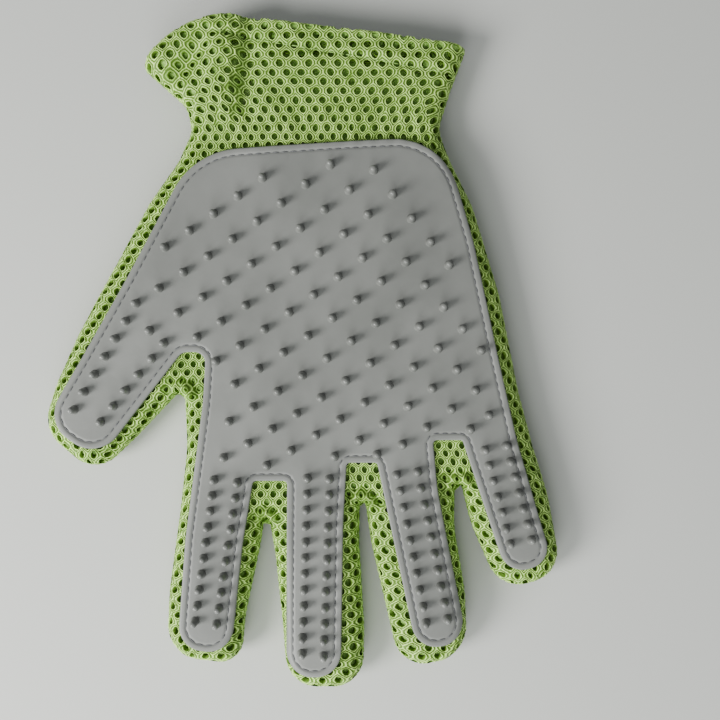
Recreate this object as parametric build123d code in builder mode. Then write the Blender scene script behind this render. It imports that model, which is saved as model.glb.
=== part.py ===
from build123d import *
import math
import os

# Right-hand grooming glove lying palm up.  Millimetres.
# X runs across the palm (thumb at -X), Y runs from the fingers (-Y) to the cuff (+Y),
# Z points out of the palm.  The back of the glove rests on Z = 0.

os.makedirs("parts", exist_ok=True)

# ---- fabric ----
TUBE_H = 13.0        # height of the empty fabric tubes lying flat
WALL = 2.0           # spacer mesh thickness
EDGE_R = 5.5         # rounding of the long edges of a tube
SPLIT_Z = 6.5        # side seam height, between the palm panel and the back panel
OUTLINE_R = 8.0      # rounding of the outline's corners

# ---- rubber pad ----
PAD_Z = TUBE_H       # underside of the pad
PAD_T = 1.4
PAD_TOP = PAD_Z + PAD_T
NUB_H = 3.9
NUB_R_BASE = 1.35
NUB_R_TIP = 1.1
STITCH_IN = 2.3      # stitch line from the pad's edge
STITCH_W = 0.7
STITCH_H = 0.35

# ---- knuckle hinges ----
HINGE_Z = PAD_TOP + 2.0
GAP_TOP = 0.4        # half gap between two segments at the pad
GAP_LOW = 1.4        # half gap at the back of the hand
WRIST_Y = 77.0
WRIST_GAP = 1.6      # half gap at the wrist

# ---- cuff and strap ----
RECESS = 3.3         # the wrist band's back stands this far off the ground, over the strap
STRAP_Y0 = 80.5
STRAP_Y1 = 98.5
STRAP_X0 = -35.0     # peel line beside the sewn anchor
STRAP_X1 = 40.0
STRAP_T = 1.6
PATCH_T = 0.7
PATCH_X0 = -6.0       # sewn loop patch, on the cuff
PATCH_X1 = 42.0
HOOK_X0 = 6.0         # hook patch, on the strap
HOOK_X1 = 35.0
ANCHOR_X0 = -43.0
RUN_GAP = 0.3         # between the closed hooks and the loops
CUFF_EDGE_Y = 114.36  # the cuff's edge at X = 0
EDGE_SLOPE = -0.1045  # it falls towards the little finger side
HEM_DEPTH = 10.0      # the hem's stitch line, in from the edge
HEM_START = 3.0
HEM_LAYER = 1.0
MOUTH_X0 = -40.0      # clear width of the cuff's mouth
MOUTH_X1 = 47.0
MOUTH_Y0 = 100.0
ELASTIC_X0 = -34.0
ELASTIC_X1 = 42.0
ELASTIC_Y0 = 81.0
ELASTIC_Y1 = 97.0
ELASTIC_T = 1.0
HEM_CLEAR = 0.4       # between the hem layer and the sides of the mouth
ANCHOR_GAP = 0.4      # between the sewn anchor and the strap's fold
RECESS_END = 1.0      # the recess runs this far past the strap on both sides
HOOK_INSET = 1.0      # the hook patch is narrower than the strap by this on both sides
STRAP_CORNER_R = 4.0

# Outlines of the palm's fabric, as two overlapping convex panels.
PALM_PANEL = [
    (-36.0, 95.0), (-42.5, 20.0), (-42.5, -60.0), (21.5, -58.0), (55.0, -50.0),
    (82.0, -44.0), (76.5, -17.0), (71.5, 10.0), (66.0, 34.0), (58.0, 57.0), (39.0, 97.0),
]
THUMB_PANEL = [
    (-5.0, 95.0), (-29.5, 95.0), (-43.8, 66.3), (-57.8, 45.3), (-68.6, 24.3),
    (-77.0, 9.0), (-42.0, -14.0), (-5.0, 2.0),
]
CUFF_PANEL = [
    (-38.0, 60.0), (-40.0, 78.0), (-54.5, 95.5), (-50.0, 108.5), (-31.0, 117.6),
    (57.0, 108.4), (55.5, 97.0), (48.0, 78.0), (46.0, 60.0),
]
# Outline of the rubber over the palm; the digit strips are added to it.
PALM_RUBBER = [
    (-26.0, 68.0), (21.0, 71.6), (29.5, 71.6), (37.0, 69.2), (46.0, 64.4), (51.6, 57.6),
    (55.0, 51.0), (58.4, 37.0), (61.5, 23.5), (64.6, 10.0), (67.3, -4.0), (70.4, -17.5),
    (73.6, -31.0), (45.0, -31.0), (35.0, -38.7), (15.5, -38.7), (5.0, -45.0),
    (-26.0, -45.0), (-36.4, -38.0), (-33.5, -17.5), (-32.5, -4.0), (-35.0, -1.2),
    (-39.5, -1.2), (-43.0, -4.0), (-68.5, 10.0), (-61.4, 23.5), (-54.0, 37.0),
    (-47.0, 50.8), (-40.7, 57.6), (-34.5, 63.7),
]

# Nub lattice of the palm: a slightly curved, skewed grid.
LATTICE_0 = (10.5, 10.4)
LATTICE_I = (14.7, -1.8)
LATTICE_J = (-8.3, -6.03)
LATTICE_BOW = 0.19
LATTICE_TWIST = -0.21
LATTICE_SAG = 0.11
LATTICE_ROWS = {
    -7: (-4, -3), -6: (-5, -2), -5: (-5, -1), -4: (-5, 0), -3: (-5, 1), -2: (-5, 1),
    -1: (-4, 2), 0: (-4, 3), 1: (-3, 4), 2: (-2, 4), 3: (-1, 5), 4: (0, 5),
    5: (1, 6), 6: (1, 5), 7: (2, 4), 8: (2, 3),
}

# Each digit: the direction its hinges face, its fabric tube and rubber strip as two end
# circles (x, y, radius), its two hinge stations, the lateral band it owns, and its nub
# columns (first nub, last nub, count).
FORWARD = (0.0, -1.0)
THUMB_ALONG = (math.cos(math.radians(235.4)), math.sin(math.radians(235.4)))
DIGITS = {
    "thumb": {
        "along": THUMB_ALONG,
        "tube": ((-58.5, -1.0, 20.3), (-74.1, -25.2, 14.5)),
        "strip": ((-56.3, 2.3, 14.3), (-72.3, -22.2, 11.2)),
        "hinges": (36.0, 50.0),
        "band": (27.2, 95.0),
        "nubs": (((-56.3, 15.4), (-77.4, -20.7), 7), ((-46.8, 2.1), (-68.5, -24.8), 6)),
    },
    "index": {
        "along": FORWARD,
        "tube": ((-27.5, -50.0, 15.0), (-33.2, -95.5, 13.5)),
        "strip": ((-26.1, -40.0, 10.0), (-32.4, -94.1, 9.1)),
        "hinges": (63.7, 79.8),
        "band": (12.5, 60.0),
        "nubs": (((-29.8, -44.6), (-36.2, -92.6), 10), ((-21.9, -45.4), (-29.0, -93.6), 10)),
    },
    "middle": {
        "along": FORWARD,
        "tube": ((4.0, -50.0, 15.4), (7.0, -102.9, 14.5)),
        "strip": ((5.3, -38.7, 10.0), (3.9, -102.5, 9.5)),
        "hinges": (63.1, 85.0),
        "band": (-21.9, 12.5),
        "nubs": (((1.9, -43.9), (0.2, -103.8), 12), ((9.4, -44.2), (7.4, -104.5), 12)),
    },
    "ring": {
        "along": FORWARD,
        "tube": ((36.5, -50.0, 15.0), (43.8, -96.2, 13.5)),
        "strip": ((34.9, -37.0, 9.9), (45.5, -94.8, 8.9)),
        "hinges": (61.8, 78.6),
        "band": (-56.2, -21.9),
        "nubs": (((32.3, -42.8), (42.4, -93.2), 10), ((39.4, -41.8), (49.6, -91.9), 10)),
    },
    "little": {
        "along": FORWARD,
        "tube": ((67.3, -38.0, 14.6), (76.8, -69.8, 11.9)),
        "strip": ((64.3, -31.0, 9.5), (75.2, -68.0, 8.5)),
        "hinges": (52.4, 63.0),
        "band": (-100.0, -56.2),
        "nubs": (((62.2, -34.4), (71.0, -66.4), 7), ((69.6, -33.0), (78.2, -65.0), 7)),
    },
}
# Nubs near the pad's edge that stand off the lattice.
EDGE_NUBS = [(-51.6, 6.2), (25.7, -35.8), (63.6, -22.6)]
FAR = 220.0
LOW_Z = -5.0
HIGH_Z = 30.0

pieces = {}


def round_long_edges(part, radius):
    """Round the top and bottom outline edges of a flat extrusion."""
    faces = part.faces().sort_by(Axis.Z)
    return fillet(faces[-1].edges() + faces[0].edges(), radius)


def puffy_panel(outline, inset, z0, z1):
    """A flat hollow-fabric volume over a polygon outline, or its inside when inset."""
    with BuildPart() as panel:
        with BuildSketch(Plane.XY.offset(z0)):
            with BuildLine():
                FilletPolyline(*outline, radius=OUTLINE_R, close=True)
            make_face()
            if inset > 0:
                offset(amount=-inset)
        extrude(amount=z1 - z0)
        round_long_edges(panel, EDGE_R - inset)
    return panel.part


def puffy_tube(circles, inset):
    """A flat hollow-fabric digit between two end circles, or its inside when inset."""
    with BuildPart() as tube:
        with BuildSketch(Plane.XY.offset(inset)):
            for x, y, r in circles:
                with Locations((x, y)):
                    Circle(r - inset)
            make_hull()
        extrude(amount=TUBE_H - 2 * inset)
        round_long_edges(tube, EDGE_R - inset)
    return tube.part


def digit_plane(along, lateral):
    """Sketch plane with X along the digit, Y up and its normal along the hinge axis."""
    ux, uy = along
    return Plane(
        origin=(uy * lateral, -ux * lateral, 0), x_dir=(ux, uy, 0), z_dir=(uy, -ux, 0)
    )


def segment_block(digit, s0, s1):
    """Space a digit segment may fill between two hinge stations."""
    t0, t1 = digit["band"]
    with BuildPart() as block:
        with BuildSketch(digit_plane(digit["along"], t0)):
            with BuildLine():
                Polyline(
                    (s0 + GAP_TOP, HIGH_Z),
                    (s0 + GAP_TOP, PAD_Z),
                    (s0 + GAP_LOW, LOW_Z),
                    (s1 - GAP_LOW, LOW_Z),
                    (s1 - GAP_TOP, PAD_Z),
                    (s1 - GAP_TOP, HIGH_Z),
                    close=True,
                )
            make_face()
        extrude(amount=t1 - t0)
    return block.part


def beyond_knuckle(digit):
    """Everything past a digit's first hinge, taken away from the hand."""
    s0 = digit["hinges"][0]
    t0, t1 = digit["band"]
    with BuildPart() as block:
        with BuildSketch(digit_plane(digit["along"], t0)):
            with BuildLine():
                Polyline(
                    (s0 - GAP_TOP, HIGH_Z),
                    (s0 - GAP_TOP, PAD_Z),
                    (s0 - GAP_LOW, LOW_Z),
                    (FAR, LOW_Z),
                    (FAR, HIGH_Z),
                    close=True,
                )
            make_face()
        extrude(amount=t1 - t0)
    return block.part


def block_between(x0, x1, y0, y1, z0, z1):
    with BuildPart() as block:
        with Locations(((x0 + x1) / 2, (y0 + y1) / 2, (z0 + z1) / 2)):
            Box(x1 - x0, y1 - y0, z1 - z0)
    return block.part


def make_nub():
    with BuildPart() as nub:
        with BuildSketch(Plane.XZ):
            with BuildLine():
                shoulder = NUB_H - NUB_R_TIP
                side = Polyline((0, 0), (NUB_R_BASE, 0), (NUB_R_TIP, shoulder))
                ThreePointArc(
                    side @ 1,
                    (NUB_R_TIP * math.sqrt(0.5), shoulder + NUB_R_TIP * math.sqrt(0.5)),
                    (0, NUB_H),
                )
                Line((0, NUB_H), (0, 0))
            make_face()
        revolve(axis=Axis.Z)
    return nub.part


def lattice_nubs():
    """Centres of the palm nubs."""
    spots = []
    for j, (first, last) in LATTICE_ROWS.items():
        for i in range(first, last + 1):
            x = LATTICE_0[0] + i * LATTICE_I[0] + j * LATTICE_J[0]
            y = LATTICE_0[1] + i * LATTICE_I[1] + j * LATTICE_J[1]
            y += LATTICE_BOW * i * i + LATTICE_TWIST * i * j + LATTICE_SAG * j * j
            spots.append((x, y))
    return spots


def digit_nubs(digit):
    """Centres of a digit's two nub columns."""
    spots = []
    for (x0, y0), (x1, y1), count in digit["nubs"]:
        for k in range(count):
            f = k / (count - 1)
            spots.append((x0 + f * (x1 - x0), y0 + f * (y1 - y0)))
    return spots


def station(digit, spot):
    return digit["along"][0] * spot[0] + digit["along"][1] * spot[1]


def rubber_outline(inset):
    """The whole rubber outline, palm and five strips, drawn in by inset."""
    with BuildSketch() as outline:
        with BuildLine():
            Polyline(*PALM_RUBBER, close=True)
        make_face()
        if inset > 0:
            offset(amount=-inset, kind=Kind.INTERSECTION)
        for digit in DIGITS.values():
            with BuildSketch(mode=Mode.ADD):
                for x, y, r in digit["strip"]:
                    with Locations((x, y)):
                        Circle(r - inset)
                make_hull()
    return outline.sketch


def rubber_piece(keep, take_away, spots):
    """A piece of the moulded pad, with the nubs that are one with it."""
    with BuildPart() as pad:
        add(pad_sheet)
        if keep is not None:
            add(keep, mode=Mode.INTERSECT)
        for tool in take_away:
            add(tool, mode=Mode.SUBTRACT)
        if spots:
            with Locations(*[(x, y, PAD_TOP) for x, y in spots]):
                add(nub_form)
    return pad.part


def nub_group(spots):
    """The nubs that stand on the palm's piece of the pad."""
    with BuildPart() as nubs:
        with Locations(*[(x, y, PAD_TOP) for x, y in spots]):
            add(nub_form)
    return nubs.part


def thread_piece(keep, take_away):
    """A piece of the lockstitch line that holds the pad on."""
    with BuildPart() as thread:
        add(thread_line)
        if keep is not None:
            add(keep, mode=Mode.INTERSECT)
        for tool in take_away:
            add(tool, mode=Mode.SUBTRACT)
    return thread.part


def fabric_piece(outer, inner, keep, take_away):
    """A piece of a fabric panel: outside less inside, trimmed."""
    with BuildPart() as fabric:
        add(outer)
        add(inner, mode=Mode.SUBTRACT)
        for tool in keep:
            add(tool, mode=Mode.INTERSECT)
        for tool in take_away:
            add(tool, mode=Mode.SUBTRACT)
    return fabric.part


nub_form = make_nub()
upper_half = block_between(-FAR, FAR, -FAR, FAR, SPLIT_Z, HIGH_Z)
lower_half = block_between(-FAR, FAR, -FAR, FAR, LOW_Z, SPLIT_Z)

with BuildPart() as pad_blank:
    with BuildSketch(Plane.XY.offset(PAD_Z)):
        add(rubber_outline(0))
    extrude(amount=PAD_T)
pad_sheet = pad_blank.part

with BuildPart() as thread_blank:
    with BuildSketch(Plane.XY.offset(PAD_TOP)):
        add(rubber_outline(STITCH_IN))
        add(rubber_outline(STITCH_IN + STITCH_W), mode=Mode.SUBTRACT)
    extrude(amount=STITCH_H)
thread_line = thread_blank.part


def build_digits():
    for name, digit in DIGITS.items():
        outer = puffy_tube(digit["tube"], 0)
        inner = puffy_tube(digit["tube"], WALL)
        knuckle, middle_joint = digit["hinges"]
        spans = {"base": (knuckle, middle_joint), "tip": (middle_joint, FAR)}
        wide = dict(digit)
        wide["band"] = (-FAR, FAR)
        for segment, (s0, s1) in spans.items():
            block = segment_block(digit, s0, s1)
            open_block = segment_block(wide, s0, s1)
            spots = [p for p in digit_nubs(digit) if s0 < station(digit, p) < s1]
            label = name + "_" + segment
            pieces[label + "_pad"] = rubber_piece(block, [], spots)
            pieces[label + "_stitching"] = thread_piece(block, [])
            pieces[label + "_palm_mesh"] = fabric_piece(
                outer, inner, [open_block, upper_half], []
            )
            pieces[label + "_back_mesh"] = fabric_piece(
                outer, inner, [open_block, lower_half], []
            )


def hand_volume(inset):
    """The palm and the roots of all digits in one volume."""
    z0 = inset
    z1 = TUBE_H - inset
    with BuildPart() as volume:
        add(puffy_panel(PALM_PANEL, inset, z0, z1))
        add(puffy_panel(THUMB_PANEL, inset, z0, z1))
        for digit in DIGITS.values():
            add(puffy_tube(digit["tube"], inset))
    return volume.part


def build_hand():
    gone = [beyond_knuckle(digit) for digit in DIGITS.values()]
    wrist_cut = block_between(-FAR, FAR, WRIST_Y - WRIST_GAP, FAR, LOW_Z, HIGH_Z)
    outer = hand_volume(0)
    inner = hand_volume(WALL)
    pieces["palm_mesh"] = fabric_piece(outer, inner, [upper_half], gone + [wrist_cut])
    pieces["back_mesh"] = fabric_piece(outer, inner, [lower_half], gone + [wrist_cut])
    spots = lattice_nubs()
    spots += EDGE_NUBS
    for digit in DIGITS.values():
        knuckle = digit["hinges"][0]
        spots += [p for p in digit_nubs(digit) if station(digit, p) < knuckle]
    pieces["palm_pad"] = rubber_piece(None, gone, [])
    pieces["palm_nubs"] = nub_group(spots)
    pieces["palm_stitching"] = thread_piece(None, gone + [pieces["palm_nubs"]])


def cuff_line(x, depth):
    """The point at x on the line that runs depth in from the cuff's slanted edge."""
    return (x, CUFF_EDGE_Y + EDGE_SLOPE * x - depth)


def hem_band(start, end):
    """Slanting band along the cuff, between two depths from its edge."""
    with BuildPart() as band:
        with BuildSketch():
            with BuildLine():
                Polyline(
                    cuff_line(-FAR, end),
                    cuff_line(FAR, end),
                    cuff_line(FAR, start),
                    cuff_line(-FAR, start),
                    close=True,
                )
            make_face()
        extrude(amount=TUBE_H + STITCH_H)
    return band.part


def cuff_inside():
    """Inside of the cuff, its floor raised over the strap recess."""
    ramp_end = STRAP_Y1 + RECESS_END + WALL
    with BuildPart() as inside:
        add(puffy_panel(CUFF_PANEL, WALL, WALL, TUBE_H - WALL))
        add(
            block_between(-FAR, FAR, -FAR, ramp_end, LOW_Z, RECESS + WALL),
            mode=Mode.SUBTRACT,
        )
    return inside.part


def build_cuff():
    start = WRIST_Y + WRIST_GAP
    zone = block_between(-FAR, FAR, start, FAR, LOW_Z, HIGH_Z)
    recess = block_between(-FAR, FAR, WRIST_Y, STRAP_Y1 + RECESS_END, LOW_Z, RECESS)
    outer = puffy_panel(CUFF_PANEL, 0, 0, TUBE_H)
    inner = cuff_inside()
    mouth = block_between(MOUTH_X0, MOUTH_X1, MOUTH_Y0, FAR, WALL, TUBE_H - WALL)
    pieces["cuff_palm_mesh"] = fabric_piece(outer, inner, [zone, upper_half], [mouth])
    pieces["cuff_back_mesh"] = fabric_piece(
        outer, inner, [zone, lower_half], [recess, mouth]
    )
    build_hem(outer)
    with BuildPart() as elastic:
        add(
            block_between(
                ELASTIC_X0, ELASTIC_X1, ELASTIC_Y0, ELASTIC_Y1,
                TUBE_H - WALL - ELASTIC_T, TUBE_H - WALL,
            )
        )
    pieces["wrist_elastic"] = elastic.part


def build_hem(outer):
    """The turned-in layer behind both edges of the mouth, and its stitch line."""
    x0 = MOUTH_X0 + HEM_CLEAR
    x1 = MOUTH_X1 - HEM_CLEAR
    y0 = MOUTH_Y0 + HEM_CLEAR
    roof = TUBE_H - WALL
    with BuildPart() as hem:
        add(block_between(x0, x1, y0, FAR, roof - HEM_LAYER, roof))
        add(block_between(x0, x1, y0, FAR, WALL, WALL + HEM_LAYER))
        add(outer, mode=Mode.INTERSECT)
        add(hem_band(HEM_START, HEM_DEPTH + HEM_LAYER), mode=Mode.INTERSECT)
    pieces["cuff_hem"] = hem.part
    with BuildPart() as hem_thread:
        add(hem_band(HEM_DEPTH, HEM_DEPTH + STITCH_W))
        add(
            block_between(x0, x1, 0, FAR, TUBE_H, TUBE_H + STITCH_H),
            mode=Mode.INTERSECT,
        )
    pieces["hem_stitching"] = hem_thread.part


def build_strap():
    patch_z = RECESS - PATCH_T
    with BuildPart() as loops:
        add(block_between(PATCH_X0, PATCH_X1, STRAP_Y0, STRAP_Y1, patch_z, RECESS))
    pieces["strap_loop_patch"] = loops.part
    with BuildPart() as anchor:
        fold = STRAP_X0 - ANCHOR_GAP
        add(block_between(ANCHOR_X0, fold, STRAP_Y0, STRAP_Y1, 0, RECESS))
    pieces["strap_anchor"] = anchor.part
    with BuildPart() as strap:
        with BuildSketch():
            with Locations(((STRAP_X0 + STRAP_X1) / 2, (STRAP_Y0 + STRAP_Y1) / 2)):
                Rectangle(STRAP_X1 - STRAP_X0, STRAP_Y1 - STRAP_Y0)
        extrude(amount=STRAP_T)
        corners = strap.edges().filter_by(Axis.Z).sort_by(Axis.X)[-2:]
        fillet(corners, STRAP_CORNER_R)
    pieces["wrist_strap"] = strap.part
    with BuildPart() as hooks:
        add(
            block_between(
                HOOK_X0, HOOK_X1, STRAP_Y0 + HOOK_INSET, STRAP_Y1 - HOOK_INSET,
                STRAP_T, patch_z - RUN_GAP,
            )
        )
    pieces["strap_hook_patch"] = hooks.part


build_hand()
build_digits()
build_cuff()
build_strap()

# Put the origin under the middle of the whole glove.
boxes = [part.bounding_box() for part in pieces.values()]
mid_x = (min(b.min.X for b in boxes) + max(b.max.X for b in boxes)) / 2
mid_y = (min(b.min.Y for b in boxes) + max(b.max.Y for b in boxes)) / 2
low_z = min(b.min.Z for b in boxes)
print("moved by", round(-mid_x, 4), round(-mid_y, 4), round(-low_z, 4))

for name, part in pieces.items():
    placed = part.moved(Location((-mid_x, -mid_y, -low_z)))
    placed.label = name
    export_step(placed, "parts/" + name + ".step")
    solids = placed.solids()
    print(name, len(solids), round(placed.volume, 1))
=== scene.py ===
import math

import bpy
import numpy as np
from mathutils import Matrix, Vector
from mathutils.geometry import delaunay_2d_cdt


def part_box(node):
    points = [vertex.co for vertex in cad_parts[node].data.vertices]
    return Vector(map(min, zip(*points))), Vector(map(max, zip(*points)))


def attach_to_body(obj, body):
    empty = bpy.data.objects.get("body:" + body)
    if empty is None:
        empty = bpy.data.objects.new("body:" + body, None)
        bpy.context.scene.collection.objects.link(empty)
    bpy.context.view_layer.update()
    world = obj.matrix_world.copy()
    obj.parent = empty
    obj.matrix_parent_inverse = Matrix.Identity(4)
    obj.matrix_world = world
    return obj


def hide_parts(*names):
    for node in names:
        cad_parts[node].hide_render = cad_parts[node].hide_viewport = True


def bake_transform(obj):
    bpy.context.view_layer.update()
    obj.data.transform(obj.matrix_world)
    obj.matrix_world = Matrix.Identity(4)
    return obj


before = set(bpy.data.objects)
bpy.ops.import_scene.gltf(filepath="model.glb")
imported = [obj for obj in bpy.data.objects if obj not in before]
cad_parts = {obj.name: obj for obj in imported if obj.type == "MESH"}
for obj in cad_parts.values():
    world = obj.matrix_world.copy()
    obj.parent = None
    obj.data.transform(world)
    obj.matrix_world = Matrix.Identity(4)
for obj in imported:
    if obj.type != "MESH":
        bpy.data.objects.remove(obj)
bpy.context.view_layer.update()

# A right-hand grooming glove lying palm up.  Design values are in millimetres, in the
# frame of the CAD model before it was centred; place() turns them into metres.

MM = 0.001


def box_mm(node):
    low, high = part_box(node)
    return np.array(low) / MM, np.array(high) / MM


# The CAD model was centred after it was drawn: these two faces give the shift back.
LITTLE_TIP_X = 88.7
MIDDLE_TIP_Y = -117.4
SHIFT = np.array([
    box_mm("little_tip_palm_mesh")[1][0] - LITTLE_TIP_X,
    box_mm("middle_tip_palm_mesh")[0][1] - MIDDLE_TIP_Y,
    0.0,
])
FABRIC_TOP = box_mm("palm_mesh")[1][2]
MID_Z = box_mm("palm_mesh")[0][2]
HALF_H = FABRIC_TOP - MID_Z
STRAP_TOP = box_mm("strap_loop_patch")[1][2]
STRAP_Y = [corner[1] - SHIFT[1] for corner in box_mm("wrist_strap")]

EDGE_BAND = 7.0  # width of the rounded side of a fabric tube
PALM_CROWN = 1.2  # the empty palm stands a little fuller in the middle
WRIST_Y = 77.0  # where the elastic gathers the fabric
LINING_DEPTH = 1.85  # the darker back layer of the spacer mesh, below the net
LINING_TURN = 2.6  # it follows the cuff's folded edge this far round, radians
LINING_AT_FOLD = 0.6  # its depth there, as a share of the fold's radius
LINING_GRID = 2.2
LINING_LOOPS = [1.0, 2.2, 3.6, 5.2, 7.0]
PAD_T = 1.4
PAD_SAG = 0.45  # how far the pad follows the rounded side down, share of its drop
STITCH_IN = 2.35  # stitch line from the pad's edge
DETAIL_GATE_Y = 68.0  # the cuff's relief starts here

# Net lattice: holes in rows, each row moved by half a pitch.
HOLE_PITCH = 5.0
ROW_PITCH = 3.15
HOLE_HALF_W = 1.25
HOLE_HALF_L = 1.37

# Outlines as corners (x, y, corner radius), clockwise from the cuff's thumb side.
FABRIC_CORNERS = [
    (58.0, 150.0, 1.0), (56.6, 104.0, 10.0), (51.4, 90.5, 12.0), (47.0, 76.5, 10.0),
    (51.6, 64.8, 12.0), (59.0, 50.0, 40.0), (68.4, 19.0, 60.0), (74.9, -14.0, 60.0),
    (80.0, -33.5, 50.0), (85.3, -50.5, 60.0), (90.3, -78.0, 11.0), (69.2, -84.2, 11.0),
    (58.8, -60.5, 60.0), (55.6, -47.2, 1.3), (52.9, -47.2, 1.3), (52.6, -62.0, 50.0),
    (56.4, -84.0, 50.0), (57.4, -107.0, 12.5), (34.2, -111.0, 12.5), (29.6, -91.0, 60.0),
    (24.2, -68.0, 30.0), (22.0, -53.4, 1.3), (19.6, -53.4, 1.3), (19.5, -68.0, 40.0),
    (21.2, -96.0, 50.0), (21.0, -117.4, 12.5), (-5.2, -117.4, 12.5), (-6.8, -96.0, 50.0),
    (-9.6, -70.0, 40.0), (-11.6, -58.8, 1.2), (-13.6, -58.8, 1.2), (-15.2, -69.0, 40.0),
    (-20.3, -93.0, 50.0), (-21.6, -109.8, 12.0), (-47.4, -106.6, 12.5),
    (-46.4, -84.0, 60.0), (-42.6, -56.0, 60.0), (-40.2, -34.0, 50.0), (-41.2, -12.4, 2.2),
    (-57.9, -30.0, 40.0), (-72.2, -43.8, 13.5), (-90.6, -27.8, 13.5), (-85.7, -12.0, 40.0),
    (-78.0, 5.4, 60.0), (-68.0, 24.0, 60.0), (-53.0, 51.4, 40.0), (-43.3, 65.2, 14.0),
    (-38.4, 76.0, 8.0), (-40.4, 84.6, 8.0), (-55.8, 98.2, 5.0), (-61.0, 112.0, 10.0),
    (-61.0, 150.0, 1.0),
]
PAD_CORNERS = [
    (-36.6, 67.4, 26.0), (48.4, 72.6, 26.0), (58.6, 37.0, 80.0), (67.0, -2.6, 90.0),
    (73.4, -30.9, 60.0), (81.2, -58.0, 60.0), (85.7, -72.4, 8.2), (70.2, -77.2, 8.2),
    (54.9, -31.0, 1.1), (44.8, -31.0, 1.1), (46.4, -48.0, 60.0), (56.6, -99.6, 8.4),
    (39.4, -103.0, 8.4), (25.8, -38.7, 1.1), (15.4, -38.7, 1.1), (14.2, -60.0, 90.0),
    (13.4, -112.0, 8.9), (-5.4, -112.0, 8.9), (-4.9, -44.9, 1.1), (-16.5, -44.9, 1.1),
    (-20.0, -66.0, 60.0), (-24.3, -104.2, 8.5), (-42.3, -102.1, 8.5),
    (-39.6, -64.0, 90.0), (-33.6, -18.0, 60.0), (-32.6, -1.0, 3.6), (-40.8, -1.0, 3.6),
    (-53.4, -17.2, 50.0), (-69.5, -37.8, 10.6), (-87.9, -25.0, 10.6),
    (-75.4, -3.9, 60.0), (-60.0, 23.4, 90.0),
]
# The cuff's edge as lines (x, y, slope, fold radius): a plain hem, which slants down and is
# rolled in a fuller fold at the thumb side.
CUFF_EDGES = [(0.0, 110.6, -0.118, 1.0), (-30.0, 113.0, 0.40, 2.4), (-47.0, 104.0, 1.05, 3.1)]
EDGE_SOFT = 1.5  # how gradually one line turns into the next, mm
HEM_LINE_Y = 103.3  # the hem's stitch line
HEM_LINE_SLOPE = -0.17
HEM_DEPTH = 10.0

THUMB_ANGLE = math.radians(235.4)
FORWARD = (0.0, -1.0)
# Each digit: direction, hinge stations, lateral band, stations where the knuckle bend and
# the middle bend start and end, nub columns (first, last, count).
DIGIT_WORDS = ("along", "hinges", "band", "bend", "nubs")
DIGITS = {name: dict(zip(DIGIT_WORDS, values)) for name, *values in (
    ("thumb", (math.cos(THUMB_ANGLE), math.sin(THUMB_ANGLE)), (36.0, 50.0), (27.2, 95.0),
     (35.8, 41.6, 46.2, 53.8),
     (((-56.3, 15.4), (-77.4, -20.7), 7), ((-46.8, 2.1), (-68.5, -24.8), 6))),
    ("index", FORWARD, (63.7, 79.8), (12.5, 60.0), (59.7, 68.2, 75.3, 84.3),
     (((-29.8, -44.6), (-36.2, -92.6), 10), ((-21.9, -45.4), (-29.0, -93.6), 10))),
    ("middle", FORWARD, (63.1, 85.0), (-21.9, 12.5), (59.7, 67.6, 80.5, 89.5),
     (((1.9, -43.9), (0.2, -103.8), 12), ((9.4, -44.2), (7.4, -104.5), 12))),
    ("ring", FORWARD, (61.8, 78.6), (-56.2, -21.9), (57.9, 66.3, 74.1, 83.1),
     (((32.3, -42.8), (42.4, -93.2), 10), ((39.4, -41.8), (49.6, -91.9), 10))),
    ("little", FORWARD, (52.4, 63.0), (-100.0, -56.2), (49.4, 55.2, 60.2, 66.0),
     (((62.2, -34.4), (71.0, -66.4), 7), ((69.6, -33.0), (78.2, -65.0), 7))),
)}
ROOT_MARGIN = 5.0  # a digit's first piece starts this far before its bend
WRIST_X = 4.0
WRIST_CUT = 66.0

# Nub lattice of the palm, as in the CAD model.
LATTICE_0 = (10.5, 10.4)
LATTICE_I = (14.7, -1.8)
LATTICE_J = (-8.3, -6.03)
LATTICE_BOW = 0.19
LATTICE_TWIST = -0.21
LATTICE_SAG = 0.11
LATTICE_ROWS = {
    -7: (-4, -3), -6: (-5, -2), -5: (-5, -1), -4: (-5, 0), -3: (-5, 1), -2: (-5, 1),
    -1: (-4, 2), 0: (-4, 3), 1: (-3, 4), 2: (-2, 4), 3: (-1, 5), 4: (0, 5),
    5: (1, 6), 6: (1, 5), 7: (2, 4), 8: (2, 3),
}
EDGE_NUBS = [(-51.6, 6.2), (25.7, -35.8), (63.6, -22.6)]
NUB_PROFILE = [
    (1.75, -0.10), (1.56, 0.08), (1.44, 0.35), (1.36, 0.9), (1.28, 1.7), (1.20, 2.6),
    (1.10, 3.2), (0.92, 3.6), (0.62, 3.85), (0.30, 3.95),
]
NUB_TOP = 3.97
NUB_SIDES = 14
NUB_LEAN = math.radians(2.2)
NUB_GROW = 0.03


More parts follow.
